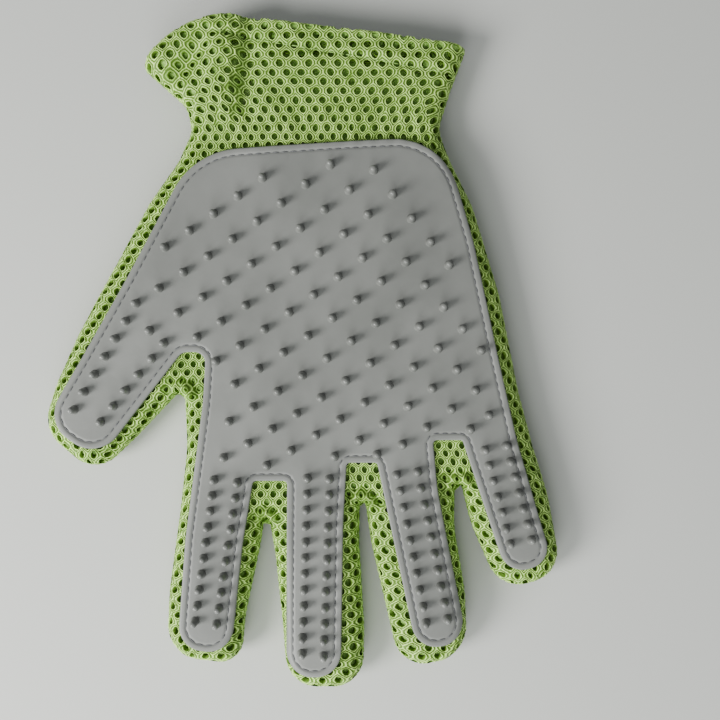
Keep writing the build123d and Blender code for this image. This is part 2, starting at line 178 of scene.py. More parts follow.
# ---- plane geometry
def rounded_ring(corners, step):
    """A dense closed ring of points: straight runs joined by arcs at the corners."""
    pts = np.array([c[:2] for c in corners], float)
    radii = [c[2] for c in corners]
    n = len(pts)
    ring = []
    for k in range(n):
        here = pts[k]
        before = pts[k - 1] - here
        after = pts[(k + 1) % n] - here
        len_b, len_a = np.linalg.norm(before), np.linalg.norm(after)
        before, after = before / len_b, after / len_a
        inner = math.acos(max(-1.0, min(1.0, float(before @ after))))
        turn = math.pi - inner
        if turn < 1e-3:
            ring.append(here)
            continue
        reach = min(radii[k] * math.tan(turn / 2), 0.48 * len_b, 0.48 * len_a)
        radius = reach / math.tan(turn / 2)
        bisector = before + after
        bisector /= np.linalg.norm(bisector)
        centre = here + bisector * math.hypot(radius, reach)
        start = here + before * reach - centre
        count = max(2, int(math.ceil(radius * turn / step)))
        sign = 1.0 if before[0] * after[1] - before[1] * after[0] < 0 else -1.0
        for i in range(count + 1):
            a = sign * turn * i / count
            c, s = math.cos(a), math.sin(a)
            ring.append(centre + [start[0] * c - start[1] * s, start[0] * s + start[1] * c])
    return spaced(np.array(ring), step)


def unit(vectors):
    return vectors / np.linalg.norm(vectors, axis=-1, keepdims=True)


def winding(ring):
    """1 for a counter-clockwise ring, -1 for a clockwise one."""
    x, y = ring.T
    return 1.0 if (x * np.roll(y, -1) - np.roll(x, -1) * y).sum() > 0 else -1.0


def spaced(ring, step):
    """Adds points on runs longer than step and drops doubled ones."""
    out = []
    for a, b in zip(ring, np.roll(ring, -1, axis=0)):
        length = np.linalg.norm(b - a)
        if length < 1e-6:
            continue
        count = max(1, int(math.ceil(length / step)))
        out += [a + (b - a) * i / count for i in range(count)]
    return np.array(out)


AT_ONCE = 3000  # points measured in one batch
ON_RING = 0.05  # nearer than this a point lies on the ring


def ring_nearest(points, ring):
    """Depth inside the ring (negative outside), outward direction, place along the ring."""
    a = ring
    ab = np.roll(ring, -1, axis=0) - a
    len2 = (ab ** 2).sum(1)
    normal = winding(ring) * np.stack([ab[:, 1], -ab[:, 0]], 1) / np.sqrt(len2)[:, None]
    depth = np.empty(len(points))
    outward = np.empty((len(points), 2))
    along = np.empty(len(points))
    walk = np.concatenate([[0.0], np.cumsum(np.sqrt(len2))])
    for i in range(0, len(points), AT_ONCE):
        batch = slice(i, i + AT_ONCE)
        p = points[batch]
        ap = p[:, None, :] - a[None]
        t = np.clip((ap * ab).sum(-1) / len2, 0, 1)
        diff = ap - t[..., None] * ab
        d2 = (diff ** 2).sum(-1)
        k = d2.argmin(1)
        rows = np.arange(len(p))
        near = diff[rows, k]
        dist = np.sqrt(d2[rows, k])
        y0, y1 = a[:, 1], a[:, 1] + ab[:, 1]
        py = p[:, 1:2]
        cross = ((y0 > py) != (y1 > py)) & (
            p[:, 0:1] < a[:, 0] + (py - y0) * ab[:, 0] / np.where(ab[:, 1] == 0, 1e-12, ab[:, 1])
        )
        inside = cross.sum(1) % 2 == 1
        depth[batch] = np.where(inside, dist, -dist)
        flip = np.where(inside, -1.0, 1.0)[:, None]
        direct = flip * near / np.maximum(dist, 1e-9)[:, None]
        blend = (dist < ON_RING)[:, None]
        outward[batch] = np.where(blend, normal[k], direct)
        along[batch] = walk[k] + t[rows, k] * (walk[k + 1] - walk[k])
    return depth, outward, along


def ring_depth(points, ring):
    return ring_nearest(points, ring)[0]


def smooth(t):
    t = np.clip(t, 0, 1)
    return t * t * (3 - 2 * t)


def bell(x, middle, width):
    return np.exp(-((x - middle) / width) ** 2)


FABRIC_RING = rounded_ring(FABRIC_CORNERS, 1.6)
RING_LENGTH = np.linalg.norm(FABRIC_RING - np.roll(FABRIC_RING, 1, axis=0), axis=1).sum()
PAD_RING = rounded_ring(PAD_CORNERS, 1.2)


# ---- fabric surface
FOLD_X = -24.0  # the fold that runs up the cuff: place, height, widths
FOLD_HEIGHT = 3.5
FOLD_BACK, FOLD_WIDTH, FOLD_FRONT = 3.5, 7.0, 2.3
ROLL_HEIGHT = 1.4  # the cuff's rolled corner, and the dent below it
DENT_DEPTH = 2.1


def cuff_relief(x, y):
    """Height of the cuff's fold and of its gathered corner over the plain tube."""
    across = x - FOLD_X - 0.05 * (y - 75.0)
    side = np.where(across < 0, bell(across, -FOLD_BACK, FOLD_WIDTH),
                    bell(FOLD_BACK, 0.0, FOLD_WIDTH) * bell(across, 0.0, FOLD_FRONT))
    fold = FOLD_HEIGHT * side * smooth((y - 70.0) / 18.0) * (1 - 0.6 * smooth((y - 101.0) / 12.0))
    pleats = 0.55 * np.sin(2.4 * across + 0.12 * y) * bell(across, -1.5, 4.5)
    hollow = -1.5 * bell(across, 4.0, 3.5) * smooth((y - 72.0) / 14.0)
    x0, y0, slope, _ = CUFF_EDGES[2]
    slant = (y - y0 - slope * (x - x0)) / math.hypot(slope, 1)
    far = smooth((-30.0 - x) / 9.0)
    roll = ROLL_HEIGHT * bell(slant, -3.0, 3.8) * far
    dent = -DENT_DEPTH * bell(slant, -9.5, 2.5) * far
    hem = y - HEM_LINE_Y - HEM_LINE_SLOPE * x
    seam = (-0.75 * bell(hem, 0.0, 1.0) + 0.35 * bell(hem, 2.6, 1.6)) * (1 - far)
    return fold + pleats * smooth((y - 74.0) / 8.0) + hollow + roll + dent + seam


def relief_slope(xy):
    """Steepness of the folds, which press the net's holes shut and set the painted shade on them.
    """
    def lift(dx, dy):
        x, y = xy[:, 0] + dx, xy[:, 1] + dy
        return np.where(y > DETAIL_GATE_Y, cuff_relief(x, y), 0.0) + bunch_relief(x, y)

    step = 0.7
    across = (lift(step, 0.0) - lift(-step, 0.0)) / (2 * step)
    along = (lift(0.0, step) - lift(0.0, -step)) / (2 * step)
    return np.hypot(across, along)


# Where the fabric bunches over the seam between two digits: x, y, reach.
BUNCHES = [(-12.6, -58.8, 5.5), (20.8, -53.4, 6.5), (54.2, -47.2, 6.5), (-41.6, -15.5, 6.5)]
BUNCH_RIDGE = 2.1
BUNCH_CREASE = 1.5


def bunch_relief(x, y):
    total = np.zeros(len(x))
    for cx, cy, reach in BUNCHES:
        r = np.hypot((x - cx) * 1.05, y - cy)
        ridge = BUNCH_RIDGE * bell(r, 0.40 * reach, 0.22 * reach)
        crease = BUNCH_CREASE * bell(r, 0.88 * reach, 0.14 * reach)
        above = smooth((y - cy + 3.0) / 3.0)
        total += (ridge - crease) * above * (1 + 0.35 * np.sin(1.9 * x + 0.8 * y))
    return total


def palm_relief(x, y, depth):
    """Fullness of the palm and soft dents beside it."""
    crown = PALM_CROWN * smooth((depth - EDGE_BAND) / 26.0)
    gather = 0.35 * np.sin(x * 1.15 + 0.6 * np.sin(y * 0.3)) * bell(y, WRIST_Y, 6.0)
    return crown + gather


def wavy(x, y, seed):
    """Small deterministic unevenness, about 1 in size."""
    a = np.sin(0.21 * x + 0.13 * y + seed) + np.sin(0.11 * x - 0.27 * y + 2.1 * seed)
    return (a + np.sin(0.47 * x + 0.39 * y - seed)) / 3.0


def side_angle(depth):
    """How far round its side the tube has turned at a depth, from 0 to a right angle."""
    t = np.clip(depth / EDGE_BAND, 0, 1)
    return t + (math.pi / 2 - 1) * (1 - (1 - t) ** 2)


def tube_point(xy, side):
    """Place and outward normal on the palm (side 1) or back (side -1) panel.

    A point outside the outline wraps round the side seam."""
    depth, outward, _ = ring_nearest(xy, FABRIC_RING)
    under = depth < 0
    phi = side_angle(np.abs(depth))
    inset = np.where(depth < EDGE_BAND, EDGE_BAND * (1 - np.cos(phi)), depth)
    flat = xy + outward * (depth - inset)[:, None]
    phi = np.where(under, -phi, phi)
    depth = np.maximum(depth, 0.0)
    x, y = flat.T
    rise = np.sin(phi)
    if side > 0:
        cuff = np.where(y > DETAIL_GATE_Y, cuff_relief(x, y), 0.0) * rise
        lift = palm_relief(x, y, depth) + cuff
        lift = lift + bunch_relief(x, y)
        z = MID_Z + HALF_H * rise + (lift + 0.25 * wavy(x, y, 1.0)) * np.maximum(rise, 0.0)
    else:
        strap = smooth((y - STRAP_Y[0] + 3.5) / 3.0) * smooth((STRAP_Y[1] + 4.0 - y) / 3.0)
        z = MID_Z - (HALF_H - (STRAP_TOP + 0.1) * strap * (rise > 0)) * rise
    normal = np.column_stack([outward * np.cos(phi)[:, None], side * np.sin(phi)])
    return np.stack([x, y, z], 1), unit(normal)


def edge_frame(xy):
    """How far a point lies past the cuff's edge, the way out over it, and the fold radius."""
    ways = unit(np.array([[-slope, 1.0] for _, _, slope, _ in CUFF_EDGES]))
    gaps = np.stack([(xy - e[:2]) @ way for e, way in zip(CUFF_EDGES, ways)], 1)
    top = gaps.max(1)
    shares = np.exp((gaps - top[:, None]) / EDGE_SOFT)
    total = shares.sum(1)
    past = top + EDGE_SOFT * np.log(total)
    shares /= total[:, None]
    return past, unit(shares @ ways), shares @ np.array([e[3] for e in CUFF_EDGES])


def past_edge(xy):
    return edge_frame(xy)[0]


def surface_point(xy, side, height):
    """Like tube_point, with the cuff's edge turned in as a hem, plus height outward."""
    past, out, radius = edge_frame(xy)
    q = np.maximum(past, 0.0)
    run_in = np.maximum(q - math.pi * radius, 0.0)
    base, normal = tube_point(xy - out * (q + run_in)[:, None], side)
    edge_dir = np.column_stack([out, np.zeros(len(out))])
    angle = np.minimum(q / radius, math.pi)
    turned = normal * np.cos(angle)[:, None] + edge_dir * np.sin(angle)[:, None]
    return base + (turned - normal) * radius[:, None] + turned * np.asarray(height)[:, None]


HEM_LENGTH = HEM_DEPTH + math.pi * CUFF_EDGES[0][3]


# ---- pieces by body
def digit_place(digit, xy):
    """Stations along a digit and places across it."""
    x, y = xy.T
    ux, uy = digit["along"]
    return x * ux + y * uy, x * uy - y * ux


def digit_splits(digit):
    """Stations where a digit's first piece starts and where its second one does."""
    bend = digit["bend"]
    return bend[0] - ROOT_MARGIN, (bend[1] + bend[2]) / 2


LITTLE_SLOT_Y = -60.0  # below here the slot beside the little finger leans outward
LITTLE_SLOT_LEAN = 0.2


def zones(xy):
    """Zone name of each pattern point: hand, cuff, DIGIT_root or DIGIT_end."""
    names = np.full(len(xy), "hand", dtype=object)
    names[xy[:, 1] > WRIST_CUT] = "cuff"
    lean = LITTLE_SLOT_LEAN * np.maximum(LITTLE_SLOT_Y - xy[:, 1], 0.0) * (xy[:, 0] > 40.0)
    for name, digit in DIGITS.items():
        s, t = digit_place(digit, xy)
        if name != "thumb":
            t = t + lean
        own = (t >= digit["band"][0]) & (t < digit["band"][1])
        first, split = digit_splits(digit)
        names[own & (s > first) & (xy[:, 1] < WRIST_CUT)] = name + "_root"
        names[own & (s > split)] = name + "_end"
    return names


def cut_lines():
    """Straight cuts between neighbouring zones, as pairs of pattern points."""
    lines = [((-60.0, WRIST_CUT), (60.0, WRIST_CUT))]
    for digit in DIGITS.values():
        ux, uy = digit["along"]
        t0, t1 = digit["band"]
        first, split = digit_splits(digit)
        for s in (first, split):
            lines.append(tuple((ux * s + uy * t, uy * s - ux * t) for t in (t0, t1)))
        lines.append(tuple((ux * s + uy * t0, uy * s - ux * t0) for s in (first, 75.0)))
    return lines


def place(points):
    return (np.asarray(points, float) + SHIFT) * MM


def attach(obj, zone):
    """Parents a hand piece to the hand's body, and bakes the placement of any other piece into
    its mesh.
    """
    if zone == "hand":
        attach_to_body(obj, "hand")
        return
    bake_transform(obj)


def link(name, data):
    obj = bpy.data.objects.new(name, data)
    bpy.context.scene.collection.objects.link(obj)
    return obj


def make_object(name, verts, faces, materials, face_material=None, tone=None, smooth_faces=True):
    mesh = bpy.data.meshes.new(name)
    mesh.from_pydata([tuple(v) for v in verts], [], [tuple(f) for f in faces])
    for m in materials:
        mesh.materials.append(m)
    if face_material is not None:
        mesh.polygons.foreach_set("material_index", np.asarray(face_material, np.int32))
    mesh.polygons.foreach_set("use_smooth", [smooth_faces] * len(mesh.polygons))
    # the light attribute carries the yarn's painted shade and painted light
    if tone is not None:
        for name_, column in (("light", 0), ("across", 1)):
            layer = mesh.attributes.new(name_, "FLOAT", "POINT")
            layer.data.foreach_set("value", np.ascontiguousarray(tone[:, column], np.float32))
    mesh.update()
    return link(name, mesh)


def split_objects(prefix, verts, faces, face_zone, materials, face_material=None, tone=None):
    """One object per zone from one mesh; returns {zone: object}."""
    made = {}
    verts = np.asarray(verts)
    face_zone = np.asarray(face_zone, dtype=object)
    for zone in sorted(set(face_zone)):
        picked = np.nonzero(face_zone == zone)[0]
        used = sorted({v for f in picked for v in faces[f]})
        index = {v: i for i, v in enumerate(used)}
        own = [[index[v] for v in faces[f]] for f in picked]
        mats = None if face_material is None else np.asarray(face_material)[picked]
        tones = None if tone is None else tone[used]
        made[zone] = make_object(prefix + "_" + zone, verts[used], own, materials, mats, tones)
    return made


# ---- the net
SPLAY_X = [-60.0, -27.0, 5.0, 36.0, 66.0, 90.0]  # how the net spreads with the fingers
SPLAY = [-0.13, -0.12, 0.03, 0.17, 0.27, 0.28]
SPLAY_START = -34.0
HAND_WIDTH = 0.80  # the net is drawn together below the wrist, across and along
HAND_LENGTH = 0.88
WRIST_TOP, WRIST_LOW = 96.0, 72.0


def lattice_to_pattern(uv):
    """The net fans out over the cuff and follows the spread of the fingers."""
    u, v = uv.T
    narrow = HAND_WIDTH + (1 - HAND_WIDTH) * smooth((v - WRIST_LOW) / (WRIST_TOP - WRIST_LOW))
    x = WRIST_X + (u - WRIST_X) * narrow
    y = np.where(v < WRIST_LOW, WRIST_LOW + (v - WRIST_LOW) * HAND_LENGTH, v)
    x = x + np.interp(x, SPLAY_X, SPLAY) * np.maximum(0.0, SPLAY_START - y)
    x = x + 0.22 * wavy(u * 2.1, v * 2.3, 3.0)
    y = y + 0.22 * wavy(u * 2.4, v * 1.9, 5.0)
    return np.stack([x, y], 1)


def cell_shape():
    """Twelve boundary points of a lattice cell and of its hole, by angle."""
    a, b = HOLE_PITCH / 2, ROW_PITCH
    low = (b * b - a * a) / (2 * b)
    top = (a * a + b * b) / (2 * b)
    quarter = [(a, 0.0), (a, low), (a / 2, (low + top) / 2), (0.0, top)]
    upper = quarter + [(-x, y) for x, y in quarter[-2::-1]]
    border = np.array(upper + [(x, -y) for x, y in upper[-2:0:-1]])
    angles = np.arctan2(border[:, 1] / HOLE_HALF_L, border[:, 0] / HOLE_HALF_W)
    hole = np.stack([HOLE_HALF_W * np.cos(angles), HOLE_HALF_L * np.sin(angles)], 1)
    return border, hole


NET_REACH_X, NET_REACH_Y = 145.0, 225.0


def net_cells():
    """Lattice centres over the whole glove, hem included."""
    rows = int(NET_REACH_Y / ROW_PITCH)
    cols = int(NET_REACH_X / HOLE_PITCH)
    return np.array([
        ((i + 0.5 * (j % 2)) * HOLE_PITCH, j * ROW_PITCH)
        for j in range(-rows, rows + 1) for i in range(-cols, cols + 1)
    ])


# Rings of one mesh hole from its border to the bottom of its wall: share of the hole's
# shape, scale, height, and how light the yarn is painted there: painted shade in the groove
# between strands and down the hole's wall.
NET_RINGS = [
    (0.0, 1.0, 0.07, 1.0), (0.2, 1.0, -0.02, 0.8), (0.40, 1.0, -0.22, 0.5),
    (0.60, 1.0, -0.04, 0.8), (0.80, 1.0, 0.09, 1.0), (1.0, 1.0, -0.26, 0.65),
    (1.0, 0.95, -1.5, 0.35),
]
WRAP = 1.3  # how far the net reaches round under the side seam
NET_OVER = 1.9  # cells centred this far outside still show there
NET_UNDER_PAD = 3.4  # and this far in under the rubber
OWN_CORNER = 1.1  # a corner that moved more than this isn't shared with the neighbour
SLOT_REACH = 4.6  # a cell never reaches this far along the outline
SLOT_DEPTH = 1.7  # cells and corners deeper than this can't touch a neighbour finger
DRAWN_IN = 0.13  # an astray corner goes back towards its cell in steps of this share
YARN_WANDER = 0.10  # unevenness of the corners
PRESSED = 0.5  # how far steep folds press a hole shut, and how much painted shade darkens the yarn in their creases
FOLD_PAINTED_SHADE = 0.28
NET_RIPPLE = 0.09


def hole_shape(centre, depth, outward):
    """Width, length and turn of each hole: slimmer over the hand, along the edges."""
    cuff = smooth((centre[:, 1] - 84.0) / 12.0)
    near = smooth((9.0 - depth) / 5.0) * (1 - cuff)
    turn = np.arctan2(outward[:, 1] * np.sign(outward[:, 0]), np.abs(outward[:, 0]) + 1e-9)
    turn = np.where(np.abs(turn) < 1.0, turn, 0.0) * near * 0.85
    return 0.92 + 0.04 * cuff - 0.06 * near, 1.0 + 0.1 * near, turn


def astray(points, home_depth, home_along):
    """Whether points lie far outside, or on another finger than their homes."""
    depth, _, along = ring_nearest(points, FABRIC_RING)
    gap = np.abs(along - home_along)
    gap = np.minimum(gap, RING_LENGTH - gap)
    shallow = (depth < SLOT_DEPTH) & (home_depth < SLOT_DEPTH)
    return (depth < -WRAP) | (shallow & (gap > SLOT_REACH))


def keep_near(points, homes, home_depth, home_along):
    """Draws astray points towards their homes."""
    share = np.ones(len(points))
    far = astray(points, home_depth, home_along)
    for _ in range(7):
        if not far.any():
            break
        share[far] -= DRAWN_IN
        trial = homes[far] + (points[far] - homes[far]) * share[far][:, None]
        far[np.nonzero(far)[0]] = astray(trial, home_depth[far], home_along[far])
    return homes + (points - homes) * share[:, None]


def net_corners(cells, border, home, depth, along):
    """Corner points that neighbouring cells share, and each cell's corners by number."""
    count, n = len(cells), len(border)
    each = np.repeat(np.arange(count), n)
    outer = (cells[:, None] + border[None]).reshape(-1, 2)
    own = keep_near(lattice_to_pattern(outer), home[each], depth[each], along[each])
    own = own.reshape(count, n, 2)
    key = np.round(outer * 1000).astype(np.int64)
    unique, inverse = np.unique(key, axis=0, return_inverse=True)
    inverse = inverse.reshape(count, n)
    owner = np.zeros(len(unique), int)
    for c in np.argsort(depth):
        owner[inverse[c]] = c
    shared = lattice_to_pattern(unique / 1000.0)
    shared = keep_near(shared, home[owner], depth[owner], along[owner])
    strayed = astray(shared[inverse].reshape(-1, 2), depth[each], along[each]).reshape(count, n)
    strayed |= np.linalg.norm(shared[inverse] - own, axis=-1) > OWN_CORNER
    wander = np.random.default_rng(5).normal(0.0, YARN_WANDER, shared.shape)
    inverse[strayed] = len(shared) + np.arange(strayed.sum())
    return np.concatenate([shared + wander, own[strayed]]), inverse


def net_mouths(cells, border, hole, corners, shape, squash):
    """Each cell's hole, turned and sized to the room that its corners leave."""
    def on_pattern(points):
        return lattice_to_pattern(points.reshape(-1, 2)).reshape(points.shape)

    wide, long, turn = shape
    mouth = on_pattern(cells[:, None] + hole[None] * np.stack([wide, long], 1)[:, None])
    mouth -= mouth.mean(1)[:, None]
    c, t = np.cos(turn)[:, None], np.sin(turn)[:, None]
    x, y = mouth[..., 0], mouth[..., 1]
    mouth = np.stack([x * c - y * t, x * t + y * c], -1)
    plain = on_pattern(cells[:, None] + border[None])
    middle = corners.mean(1)
    room = np.abs(corners - middle[:, None]).mean(1)
    usual = np.abs(plain - plain.mean(1)[:, None]).mean(1)
    scale = np.clip(room / usual, 0.25, 1.1) * squash[:, None]
    return middle[:, None] + mouth * scale[:, None]


def build_net(side):
    """The net of one panel: vertices, faces, and each face's zone and each vertex's tone."""
    border, hole = cell_shape()
    cells = net_cells()
    centre = lattice_to_pattern(cells)
    depth, outward, along = ring_nearest(centre, FABRIC_RING)
    keep = (depth > -NET_OVER) & (past_edge(centre) < HEM_LENGTH)
    if side > 0:
        keep &= ring_depth(centre, PAD_RING) < NET_UNDER_PAD
    cells, centre, depth, outward, along = (
        values[keep] for values in (cells, centre, depth, outward, along)
    )
    count, n = len(cells), len(border)
    home = centre + outward * np.minimum(depth - 0.2, 0.0)[:, None]
    shared, inverse = net_corners(cells, border, home, depth, along)
    corners = shared[inverse]
    slope = relief_slope(centre) if side > 0 else np.zeros(count)
    squash = 1 / (1 + PRESSED * np.maximum(slope - 0.25, 0.0))
    # painted shade: the yarn is darkened on steep folds, where shade falls in the creases
    shade = 1 - FOLD_PAINTED_SHADE * smooth((slope - 0.3) / 0.9)
    shape = hole_shape(centre, depth, outward)
    mouth = net_mouths(cells, border, hole, corners, shape, squash)
    ripple = NET_RIPPLE * np.cos(2 * np.arange(n) * 2 * math.pi / n)
    flat, across = [shared], [np.zeros(len(shared))]
    heights, light = ([np.full(len(shared), value)] for value in NET_RINGS[0][2:])
    middle = mouth.mean(1)[:, None]
    for share, scale, height, painted_ring_light in NET_RINGS[1:]:
        ring = corners * (1 - share) + mouth * share
        flat.append((middle + (ring - middle) * scale).reshape(-1, 2))
        heights.append(np.tile(height + ripple * (share > 0.1) * (share < 0.9), count))
        # painted shade: each ring's brightness darkens the grooves and the hole's wall, and the
        # fold shade darkens steep folds
        light.append(np.repeat(painted_ring_light * shade, n))
        across.append(np.full(count * n, share if scale == 1.0 else 1.3))
    steps = len(NET_RINGS) - 1
    own_points = len(shared) + np.arange(steps * count * n).reshape(steps, count, n)
    index = [inverse, *own_points]
    faces = np.concatenate([
        np.stack([low, np.roll(low, -1, 1), np.roll(high, -1, 1), high], -1).reshape(-1, 4)
        for low, high in zip(index[:-1], index[1:])
    ])
    if side < 0:
        faces = faces[:, ::-1]
    owners = np.tile(np.repeat(np.arange(count), n), steps)
    pattern = np.concatenate(flat)
    height = np.concatenate(heights)
    height = height + 0.06 * wavy(pattern[:, 0] * 9.0, pattern[:, 1] * 8.0, 2.0)
    verts = place(surface_point(pattern, side, height))
    tone = np.stack([np.concatenate(light), np.concatenate(across)], 1)
    return verts, faces.tolist(), zones(home)[owners], tone


# ---- triangulated sheets
CUFF_FINER = 0.65  # the cuff's folds need a finer grid
LOOP_SLACK = 0.12  # an inner loop's point this far off its depth is dropped
CUT_OVERSHOOT = 2.0  # cuts reach this far past the outline


def triangulate(ring, loops, grid_step, lines):
    """Delaunay sheet inside a ring, with inner loops at set depths and straight cuts."""
    points, edges = [], []
    normals = ring_normals(ring)
    for depth in (0.0, *loops):
        loop = ring - normals * depth
        kept = np.nonzero((depth == 0) | (np.abs(ring_depth(loop, ring) - depth) < LOOP_SLACK))[0]
        where = {k: len(points) + i for i, k in enumerate(kept)}
        points.extend(loop[kept])
        for k in kept:
            m = (k + 1) % len(loop)
            if m in where:
                edges.append((where[k], where[m]))
    for a, b in lines:
        a, b = np.array(a), np.array(b)
        count = max(2, int(np.linalg.norm(b - a) / grid_step))
        chain = np.array([a + (b - a) * i / count for i in range(count + 1)])
        deep = ring_depth(chain, ring) > -CUT_OVERSHOOT
        start = len(points)
        points.extend(chain)
        edges += [(start + k, start + k + 1) for k in range(count) if deep[k] and deep[k + 1]]
    low, high = ring.min(0), ring.max(0)
    grid = []
    y = low[1]
    odd = False
    while y < high[1]:
        step = grid_step * (CUFF_FINER if y > WRIST_CUT else 1.0)
        x = low[0] + (step / 2 if odd else 0.0)
        while x < high[0]:
            grid.append((x, y))
            x += step
        y += step * 0.87
        odd = not odd
    grid = np.array(grid)
    points.extend(grid[ring_depth(grid, ring) > max(loops) + 0.55 * grid_step])
    coords = [Vector((float(p[0]), float(p[1]))) for p in points]
    out, _, tris, _, _, _ = delaunay_2d_cdt(coords, edges, [], 0, 1e-4)
    flat, tris = np.array([tuple(v) for v in out]), np.array(tris)
    tris = tris[ring_depth(flat[tris].mean(1), ring) > 0]
    a, b, c = flat[tris[:, 0]], flat[tris[:, 1]], flat[tris[:, 2]]
    area = (b[:, 0] - a[:, 0]) * (c[:, 1] - a[:, 1]) - (b[:, 1] - a[:, 1]) * (c[:, 0] - a[:, 0])
    tris, area = tris[np.abs(area) > 1e-6], area[np.abs(area) > 1e-6]
    tris[area < 0] = tris[area < 0][:, ::-1]
    return flat, tris


def ring_normals(ring):
    """Outward normal at each ring point."""
    ahead = unit(np.roll(ring, -1, axis=0) - np.roll(ring, 1, axis=0))
    return winding(ring) * np.stack([ahead[:, 1], -ahead[:, 0]], 1)


PAD_GRID = 3.0
PAD_CLEAR = 0.06  # the pad's underside clears the fabric by this much
LIP_WIDTH = 1.95
LIP_PROFILE = [  # depth from the pad's edge, height over the pad's plain thickness
    (0.0, -0.32), (0.1, -0.10), (0.3, 0.02), (0.7, 0.06), (1.3, 0.06), (1.9, 0.01),
    (2.1, -0.15), (2.35, -0.24), (2.6, -0.15), (2.9, -0.02), (3.4, 0.0),
]


def pad_height(xy):
    """Top of the plain rubber over the fabric."""
    depth = ring_depth(xy, FABRIC_RING)
    stiff = MID_Z + HALF_H + palm_relief(xy[:, 0], xy[:, 1], depth)
    return stiff - PAD_SAG * HALF_H * (1 - np.sin(side_angle(depth)))


def off_cuff(names):
    """The pad reaches past the wrist's cut, and all of it there belongs to the hand."""
    return ["hand" if name == "cuff" else name for name in names]


def build_pad():
    """The moulded pad as one closed skin: top with lip and stitch groove, sides, underside."""
    loops = [d for d, _ in LIP_PROFILE[1:]]
    flat, tris = triangulate(PAD_RING, loops, PAD_GRID, cut_lines())
    depth = np.maximum(ring_depth(flat, PAD_RING), 0.0)
    under = pad_height(flat)
    profile = np.interp(depth, [p[0] for p in LIP_PROFILE], [p[1] for p in LIP_PROFILE])
    top = under + PAD_T + profile
    count = len(flat)
    verts = np.concatenate([
        np.column_stack([flat, top]), np.column_stack([flat, under + PAD_CLEAR])
    ])
    faces = [list(t) for t in tris] + [[v + count for v in t[::-1]] for t in tris]
    seen = {(t[k], t[(k + 1) % 3]): True for t in tris for k in range(3)}
    rim = [(a, b) for a, b in seen if (b, a) not in seen]
    faces += [[b, a, a + count, b + count] for a, b in rim]
    # painted light: the lip's faces take a lighter copy of the rubber, as if lit where the lip
    # tilts up
    lip = (depth[tris].mean(1) < LIP_WIDTH).astype(int)
    face_material = list(lip) + [0] * len(tris) + [1] * len(rim)
    middle = flat[tris].mean(1)
    rim_middle = np.array([(flat[a] + flat[b]) / 2 for a, b in rim])
    zone = off_cuff([*zones(middle), *zones(middle), *zones(rim_middle)])
    return place(verts), faces, zone, face_material


def build_lining(side):
    """The darker back layer of the spacer mesh, seen through the holes."""
    flat, tris = triangulate(FABRIC_RING, LINING_LOOPS, LINING_GRID, cut_lines())
    past, _, radius = edge_frame(flat[tris].mean(1))
    tris = tris[past < LINING_TURN * radius]
    used = np.unique(tris)
    renumber = np.zeros(len(flat), int)
    renumber[used] = np.arange(len(used))
    flat, tris = flat[used], renumber[tris]
    middle = flat[tris].mean(1)
    if side < 0:
        tris = tris[:, ::-1]
    past, _, radius = edge_frame(flat)
    at_fold = smooth((past + 3.0) / 3.0)
    shallow = np.minimum(LINING_AT_FOLD * radius, LINING_DEPTH)
    depth = LINING_DEPTH + (shallow - LINING_DEPTH) * at_fold
    verts = place(surface_point(flat, side, -depth))
    return verts, tris.tolist(), zones(middle)


# ---- nubs and stitches
def nub_spots():
    """Place and body of every nub."""
    spots = []
    for j, (first, last) in LATTICE_ROWS.items():
        for i in range(first, last + 1):
            x = LATTICE_0[0] + i * LATTICE_I[0] + j * LATTICE_J[0]
            y = LATTICE_0[1] + i * LATTICE_I[1] + j * LATTICE_J[1]
            y += LATTICE_BOW * i * i + LATTICE_TWIST * i * j + LATTICE_SAG * j * j
            spots.append((x, y, "hand"))
    spots += [(x, y, "hand") for x, y in EDGE_NUBS]
    for name, digit in DIGITS.items():
        ux, uy = digit["along"]
        knuckle, bend = digit["hinges"]
        for (x0, y0), (x1, y1), count in digit["nubs"]:
            for k in range(count):
                f = k / (count - 1)
                x, y = x0 + f * (x1 - x0), y0 + f * (y1 - y0)
                s = ux * x + uy * y
                body = "hand" if s < knuckle else name + ("_base" if s < bend else "_tip")
                spots.append((x, y, body))
    return spots


def tube_sides(start, rows, sides):
    """Quads between a tube's rings."""
    faces = []
    for r in range(rows - 1):
        a, b = start + r * sides, start + (r + 1) * sides
        for k in range(sides):
            m = (k + 1) % sides
            faces.append((a + k, a + m, b + m, b + k))
    return faces


def build_nubs(material):
    """The moulded nubs, one object for each body."""
    rng = np.random.default_rng(11)
    spots = nub_spots()
    xy = np.array([s[:2] for s in spots])
    ground = pad_height(xy) + PAD_T
    angles = np.arange(NUB_SIDES) * 2 * math.pi / NUB_SIDES
    by_body = {}
    for (x, y, body), z in zip(spots, ground):
        lean_x, lean_y = (math.tan(v) for v in rng.normal(0.0, NUB_LEAN, 2))
        grow = 1.0 + rng.normal(0.0, NUB_GROW)
        verts, faces = by_body.setdefault(body, ([], []))
        start = len(verts)
        for r, h in NUB_PROFILE:
            for a in angles:
                verts.append((x + r * math.cos(a) + lean_x * h, y + r * math.sin(a) + lean_y * h,
                              z + h * grow))
        verts.append((x + lean_x * NUB_TOP, y + lean_y * NUB_TOP, z + NUB_TOP * grow))
        rows = len(NUB_PROFILE)
        faces += tube_sides(start, rows, NUB_SIDES)
        last = start + (rows - 1) * NUB_SIDES
        for k in range(NUB_SIDES):
            faces.append((last + k, last + (k + 1) % NUB_SIDES, start + rows * NUB_SIDES))
        faces.append(tuple(start + k for k in reversed(range(NUB_SIDES))))
    for body, (verts, faces) in by_body.items():
        obj = make_object(body + "_nubs", place(verts), faces, [material])
        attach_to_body(obj, body)
        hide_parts("palm_nubs" if body == "hand" else body + "_pad")


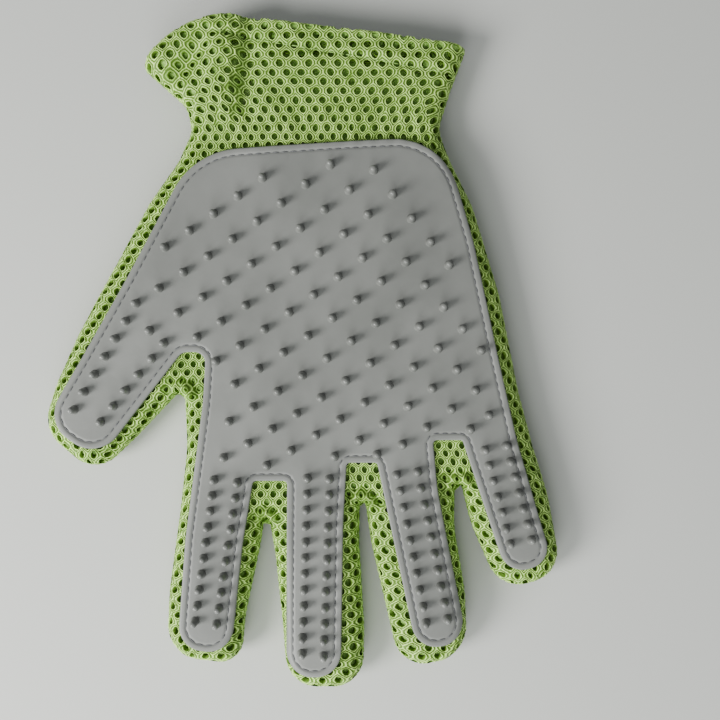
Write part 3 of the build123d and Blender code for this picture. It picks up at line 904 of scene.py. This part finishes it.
def stitch_mesh(centres, directions, ups, length, radius):
    """Small plump threads, each along its direction, arched along its up."""
    rows, sides = 7, 6
    rise, sink = 0.22, 0.16
    verts, faces = [], []
    for c, d, up in zip(centres, directions, ups):
        across = np.cross(d, up)
        start = len(verts)
        for r in range(rows):
            f = r / (rows - 1)
            u = 2 * f - 1
            size = radius * math.sqrt(max(0.05, 1 - abs(u) ** 3.2))
            mid = c + d * (u * length / 2) + up * (rise * (1 - u * u) - sink)
            for k in range(sides):
                a = 2 * math.pi * k / sides
                verts.append(mid + size * (math.cos(a) * across + math.sin(a) * up))
        faces += [face[::-1] for face in tube_sides(start, rows, sides)]
        faces.append(tuple(start + k for k in range(sides)))
        end = start + (rows - 1) * sides
        faces.append(tuple(end + k for k in reversed(range(sides))))
    return verts, faces


def along_loop(loop, pitch):
    """Evenly spaced places and directions along a closed loop."""
    length = np.linalg.norm(np.roll(loop, -1, axis=0) - loop, axis=1)
    total = length.sum()
    count = int(round(total / pitch))
    walk = np.concatenate([[0.0], np.cumsum(length)])
    closed = np.vstack([loop, loop[:1]])
    at = (np.arange(count) + 0.5) * total / count

    def spot(where):
        return np.stack([np.interp(where % total, walk, column) for column in closed.T], 1)

    step = 0.6
    return spot(at), unit(spot(at + step) - spot(at - step))


PAD_STITCH = (3.0, 2.75, 0.21)  # pitch, length and radius
PAD_STITCH_SUNK = 0.22  # the stitches lie this deep in their groove
HEM_STITCH = (3.1, 2.7, 0.24)
HEM_STITCH_SUNK = 0.05
HEM_STITCH_X = (-27.0, 51.0)


def build_stitches():
    """The lockstitch round the pad."""
    pitch, length, radius = PAD_STITCH
    loop = PAD_RING - ring_normals(PAD_RING) * STITCH_IN
    loop = loop[np.abs(ring_depth(loop, PAD_RING) - STITCH_IN) < 0.15]
    xy, flat_way = along_loop(loop, pitch)
    z = pad_height(xy) + PAD_T - PAD_STITCH_SUNK
    step = pad_height(xy + flat_way * 0.5) - pad_height(xy - flat_way * 0.5)
    way = unit(np.column_stack([flat_way, step]))
    ups = np.tile([0.0, 0.0, 1.0], (len(xy), 1))
    verts, faces = stitch_mesh(np.column_stack([xy, z]), way, ups, length, radius)
    zone = off_cuff(np.repeat(zones(xy), len(faces) // len(xy)))
    return place(verts), faces, zone


SEAM_RADIUS = 0.75  # the side seam's roll of yarn, which twists as it goes
SEAM_IN = 0.55
SEAM_SIDES = 8
SEAM_TWIST = 1.9


def build_seam():
    """The rolled side seam round the glove, turned in at both ends of the cuff's edge."""
    loop = spaced(FABRIC_RING, 1.0)
    inside = past_edge(loop) < HEM_DEPTH
    start = int(np.argmax(inside & ~np.roll(inside, 1)))
    loop = np.roll(loop, -start, axis=0)[:int(inside.sum())]
    walk = np.arange(len(loop))
    verts, tone = [], []
    for k in range(SEAM_SIDES):
        a = 2 * math.pi * k / SEAM_SIDES
        ply = np.sin(SEAM_TWIST * walk + 2 * a)
        size = SEAM_RADIUS * (1 + 0.16 * ply)
        ring = surface_point(loop, 1, math.cos(a) * size - SEAM_IN)
        ring[:, 2] += 1.3 * math.sin(a) * size
        verts.append(ring)
        # painted light and shade: the ply is lighter where it bulges out and darker where it
        # sinks between plies
        tone.append(np.stack([0.7 + 0.2 * ply, 0.11 * walk + 0.2 * k], 1))
    count = len(loop)
    faces = []
    for k in range(SEAM_SIDES):
        a, b = k * count, (k + 1) % SEAM_SIDES * count
        faces += [(a + i, b + i, b + i + 1, a + i + 1) for i in range(count - 1)]
    zone = np.tile(zones(loop)[:-1], SEAM_SIDES)
    return place(np.concatenate(verts)), faces, zone, np.concatenate(tone)


# ---- materials
class Nodes:
    """A small helper for building a node material."""

    def __init__(self, name):
        self.material = bpy.data.materials.new(name)
        self.material.use_nodes = True
        self.tree = self.material.node_tree
        self.shader = self.tree.nodes["Principled BSDF"]
        self.coords = self.add("ShaderNodeTexCoord").outputs["Object"]

    def add(self, kind, **values):
        node = self.tree.nodes.new(kind)
        for key, value in values.items():
            setattr(node, key, value)
        return node

    def link(self, a, b):
        self.tree.links.new(a, b)

    def noise(self, scale, detail=3.0):
        node = self.add("ShaderNodeTexNoise")
        node.inputs["Scale"].default_value = scale
        node.inputs["Detail"].default_value = detail
        self.link(self.coords, node.inputs["Vector"])
        return node.outputs["Fac"]

    def ramp(self, fac, stops):
        node = self.add("ShaderNodeValToRGB")
        ramp = node.color_ramp
        while len(ramp.elements) < len(stops):
            ramp.elements.new(0.5)
        for element, (at, colour) in zip(ramp.elements, stops):
            element.position = at
            element.color = (*colour, 1.0)
        self.link(fac, node.inputs["Fac"])
        return node.outputs["Color"]

    def math(self, operation, *values):
        node = self.add("ShaderNodeMath", operation=operation)
        for socket, value in zip(node.inputs, values):
            if isinstance(value, (int, float)):
                socket.default_value = value
            else:
                self.link(value, socket)
        return node.outputs[0]

    def finish(self, colour, normal, roughness, specular=0.5):
        """Wires up the shader and returns the material."""
        self.link(colour, self.shader.inputs["Base Color"])
        self.link(normal, self.shader.inputs["Normal"])
        self.shader.inputs["Roughness"].default_value = roughness
        self.shader.inputs["Specular IOR Level"].default_value = specular
        return self.material

    def bump(self, height, strength, distance, under=None):
        node = self.add("ShaderNodeBump")
        node.inputs["Strength"].default_value = strength
        node.inputs["Distance"].default_value = distance
        self.link(height, node.inputs["Height"])
        if under is not None:
            self.link(under, node.inputs["Normal"])
        return node.outputs["Normal"]


def rubber_material(name, light, roughness=0.5):
    """Matt grey rubber, a little cloudy; light scales its colour: the lip's copy is lighter for
    painted light, the nubs' copy darker for painted shade.
    """
    m = Nodes(name)
    shade = [tuple(light * c for c in rgb) for rgb in
             ((0.170, 0.176, 0.163), (0.195, 0.201, 0.187), (0.218, 0.224, 0.209))]
    colour = m.ramp(m.noise(45.0, 4.0), list(zip((0.32, 0.52, 0.75), shade)))
    fine = m.bump(m.noise(2600.0, 2.0), 0.25, 0.00006)
    return m.finish(colour, m.bump(m.noise(180.0), 0.18, 0.0004, fine), roughness, 0.45)


def yarn_material():
    """Shiny filaments that run round each hole, with a painted highlight along each and painted
    shade in the grooves between them.
    """
    m = Nodes("net_yarn")
    light = m.add("ShaderNodeAttribute", attribute_name="light").outputs["Fac"]
    across = m.add("ShaderNodeAttribute", attribute_name="across").outputs["Fac"]
    stray, pitch = 6.5, 0.8
    wobble = m.math("MULTIPLY_ADD", m.noise(900.0), stray, (math.pi - stray) / 2)
    phase = m.math("MULTIPLY_ADD", across, 2 * math.pi / pitch, wobble)
    strand = m.math("MULTIPLY_ADD", m.math("SINE", phase), 0.5, 0.5)
    # painted highlight along each filament and painted shade between them, times the painted
    # shade of the light attribute
    tone = m.math("MULTIPLY", light, m.math("MULTIPLY_ADD", strand, 0.70, 0.30))
    tone = m.math("ADD", tone, m.math("MULTIPLY_ADD", m.noise(160.0, 2.0), 0.4, -0.2))
    colour = m.ramp(tone, [
        (0.0, (0.06, 0.13, 0.012)), (0.35, (0.125, 0.24, 0.026)), (0.66, (0.25, 0.45, 0.08)),
        (0.96, (0.70, 1.0, 0.28)),
    ])
    return m.finish(colour, m.bump(strand, 0.6, 0.00022), 0.45, 0.2)


def lining_material():
    """The knitted back layer of the spacer mesh."""
    m = Nodes("mesh_back_layer")
    knit = m.add("ShaderNodeTexVoronoi")
    knit.inputs["Scale"].default_value = 1300.0
    m.link(m.coords, knit.inputs["Vector"])
    colour = m.ramp(knit.outputs["Distance"], [
        (0.0, (0.42, 0.68, 0.15)), (0.5, (0.25, 0.47, 0.08)), (1.0, (0.13, 0.28, 0.04)),
    ])
    return m.finish(colour, m.bump(knit.outputs["Distance"], 0.5, 0.0003), 0.8)


def thread_material(name, dark, light):
    m = Nodes(name)
    colour = m.ramp(m.noise(3200.0, 2.0), [(0.35, dark), (0.7, light)])
    return m.finish(colour, m.bump(m.noise(4200.0, 2.0), 0.5, 0.0001), 0.55)


def woven_material(name, dark, light, across, along):
    """Plain-woven webbing: ribs across, finer yarns along."""
    m = Nodes(name)
    yarns = []
    for direction, scale in (("X", across), ("Y", along)):
        node = m.add("ShaderNodeTexWave", bands_direction=direction)
        node.inputs["Scale"].default_value = scale
        node.inputs["Distortion"].default_value = 0.6
        m.link(m.coords, node.inputs["Vector"])
        yarns.append(node.outputs["Fac"])
    weave = m.math("MULTIPLY", *yarns)
    return m.finish(m.ramp(weave, [(0.0, dark), (0.8, light)]), m.bump(weave, 0.6, 0.0003), 0.75)


def floor_material():
    m = Nodes("plain_floor")
    m.shader.inputs["Base Color"].default_value = (0.56, 0.57, 0.54, 1.0)
    m.shader.inputs["Roughness"].default_value = 0.7
    return m.material


# ---- assembling
def attach_all(made, slot, suffix=None, **whole):
    """Attaches the pieces of all zones and hides the CAD nodes that each stands for."""
    for zone, obj in made.items():
        attach(obj, zone)
        if zone in ("hand", "cuff"):
            nodes = whole.get(zone, [])
        else:
            body = zone.replace("root", "base").replace("end", "tip")
            nodes = [body + "_" + suffix] if suffix else []
        if nodes:
            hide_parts(*nodes)


def add_fabric():
    yarn, lining = yarn_material(), lining_material()
    for name, (verts, faces, zone, tone), nodes in (
        ("palm_net", build_net(1), dict(
            suffix="palm_mesh", hand=["palm_mesh"], cuff=["cuff_palm_mesh", "cuff_hem"])),
        ("back_net", build_net(-1), dict(
            suffix="back_mesh", hand=["back_mesh"], cuff=["cuff_back_mesh"])),
        ("side_seam", build_seam(), {}),
    ):
        made = split_objects(name, verts, faces, zone, [yarn], tone=tone)
        attach_all(made, "mesh", **nodes)
    for side, name in ((1, "palm_lining"), (-1, "back_lining")):
        attach_all(split_objects(name, *build_lining(side), [lining]), "mesh")


def add_pad():
    # the pad's rubber at 0.95 and its lip at 1.0: painted light on the lip
    rubber = rubber_material("pad_rubber", 0.95)
    lip = rubber_material("pad_lip_painted_light_rubber", 1.0)
    verts, faces, zone, face_material = build_pad()
    made = split_objects("pad", verts, faces, zone, [rubber, lip], face_material)
    attach_all(made, "rubber", "pad", hand=["palm_pad"])
    # painted shade: the nubs take the pad's rubber darkened to 0.82 for the shade round them, and
    # glossier
    build_nubs(rubber_material("nub_painted_shade_rubber", 0.82, 0.28))
    thread = thread_material("pad_thread", (0.05, 0.052, 0.055), (0.13, 0.134, 0.14))
    made = split_objects("stitches", *build_stitches(), [thread])
    attach_all(made, "thread", "stitching", hand=["palm_stitching"])


SLAB_GRID = (41, 13)  # points along and across a strip
SLAB_BEVEL = 0.3
ANCHOR_FROM = -39.4  # the sewn end stays hidden behind the wrist


def soft_slab(name, node, material, x_from=None):
    """A strip as its CAD node, with soft edges; x_from trims its thumb end."""
    low, high = (Vector(corner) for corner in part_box(node))
    if x_from is not None:
        low.x = max(low.x, place([[x_from, 0.0, 0.0]])[0][0])
    nx, ny = SLAB_GRID
    x, y = np.linspace(low.x, high.x, nx), np.linspace(low.y, high.y, ny)
    verts = [(a, b, z) for z in (low.z, high.z) for b in y for a in x]
    grid = np.arange(nx * ny).reshape(ny, nx)
    quads = np.stack([grid[:-1, :-1], grid[:-1, 1:], grid[1:, 1:], grid[1:, :-1]], -1)
    quads = quads.reshape(-1, 4)
    rim = [*grid[::-1, 0], *grid[0, 1:], *grid[1:, -1], *grid[-1, -2::-1]]
    faces = [*quads[:, ::-1], *(quads + nx * ny)]
    faces += [(a, b, b + nx * ny, a + nx * ny) for a, b in zip(rim[:-1], rim[1:])]
    obj = make_object(name, verts, faces, [material], smooth_faces=False)
    cut = obj.modifiers.new("edges", "BEVEL")
    cut.width = SLAB_BEVEL * MM
    cut.segments = 3
    cut.limit_method = "ANGLE"
    return obj


def add_wrist():
    """The strap with its patches and sewn end, and the elastic inside the cuff."""
    webbing, pile, hooks, elastic = (woven_material(*values) for values in (
        ("strap_webbing", (0.012, 0.012, 0.014), (0.05, 0.05, 0.055), 420.0, 900.0),
        ("loop_pile", (0.02, 0.02, 0.022), (0.07, 0.07, 0.075), 1300.0, 1500.0),
        ("hook_tape", (0.015, 0.015, 0.016), (0.06, 0.06, 0.065), 700.0, 700.0),
        ("wrist_elastic_weave", (0.25, 0.42, 0.09), (0.50, 0.68, 0.25), 260.0, 1400.0),
    ))
    for name, node, material, body, slot in (
        ("strap_webbing_band", "wrist_strap", webbing, "strap", "webbing"),
        ("strap_hook_tape", "strap_hook_patch", hooks, "strap", "hook_tape"),
        ("strap_loop_tape", "strap_loop_patch", pile, "cuff", "loop_pile"),
        ("strap_sewn_end", "strap_anchor", webbing, "cuff", "webbing"),
        ("elastic_band", "wrist_elastic", elastic, "cuff", "elastic"),
    ):
        obj = soft_slab(name, node, material, ANCHOR_FROM if node == "strap_anchor" else None)
        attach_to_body(obj, body)
        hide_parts(node)


def add_hem_stitches():
    """Two rows of light thread that hold the hem down."""
    thread = thread_material("hem_thread", (0.12, 0.26, 0.04), (0.34, 0.56, 0.12))
    pitch, length, radius = HEM_STITCH
    x = np.arange(*HEM_STITCH_X, pitch)
    xy = np.column_stack([x, HEM_LINE_Y + HEM_LINE_SLOPE * x])
    ahead = xy + np.array([[1.0, HEM_LINE_SLOPE]]) * 0.8
    sunk = np.full(len(x), -HEM_STITCH_SUNK)
    centres, directions, ups = [], [], []
    for side in (1, -1):
        here = surface_point(xy, side, sunk)
        way = unit(surface_point(ahead, side, sunk) - here)
        _, up = tube_point(xy, side)
        centres += list(here)
        directions += list(way)
        ups += list(unit(up - way * (up * way).sum(1)[:, None]))
    verts, faces = stitch_mesh(centres, directions, ups, length, radius)
    obj = make_object("hem_stitches", place(verts), faces, [thread])
    attach(obj, "cuff")
    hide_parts("hem_stitching")


# ---- stage, light, camera
VIEW_CENTRE = (19.95, -3.7)
VIEW_HEIGHT = 300.0
FRAME_WIDTH = 252.0
SCALE_Z = 6.5  # the height at which the frame is FRAME_WIDTH wide
SENSOR = 36.0


def add_stage():
    bpy.ops.mesh.primitive_plane_add(size=6.0, location=(0, 0, -0.0002))
    floor = bpy.context.object
    floor.name = "floor"
    floor.data.materials.append(floor_material())


def add_light(name, location, size, energy, colour):
    """A round area light that points at the origin."""
    data = bpy.data.lights.new(name, "AREA")
    data.shape = "DISK"
    data.size = size
    data.energy = energy
    data.color = colour
    light = link(name, data)
    light.location = location
    light.rotation_euler = (-Vector(location)).to_track_quat("-Z", "Y").to_euler()


def add_lights():
    add_light("window", (-0.66, -0.34, 0.50), 0.42, 13.5, (1.0, 0.995, 0.98))
    add_light("room", (-0.14, -0.60, 0.40), 0.6, 5.0, (0.98, 1.0, 0.99))
    world = bpy.data.worlds.new("room_light")
    world.use_nodes = True
    background = world.node_tree.nodes["Background"].inputs
    background["Color"].default_value = (0.9, 0.93, 0.95, 1.0)
    background["Strength"].default_value = 0.36
    bpy.context.scene.world = world


def add_camera():
    data = bpy.data.cameras.new("camera")
    data.sensor_width = SENSOR
    data.lens = SENSOR * (VIEW_HEIGHT - SCALE_Z) / FRAME_WIDTH
    camera = link("camera", data)
    camera.location = place([[*VIEW_CENTRE, VIEW_HEIGHT]])[0]
    bpy.context.scene.camera = camera


add_stage()
add_lights()
add_camera()
add_fabric()
add_pad()
add_wrist()
add_hem_stitches()
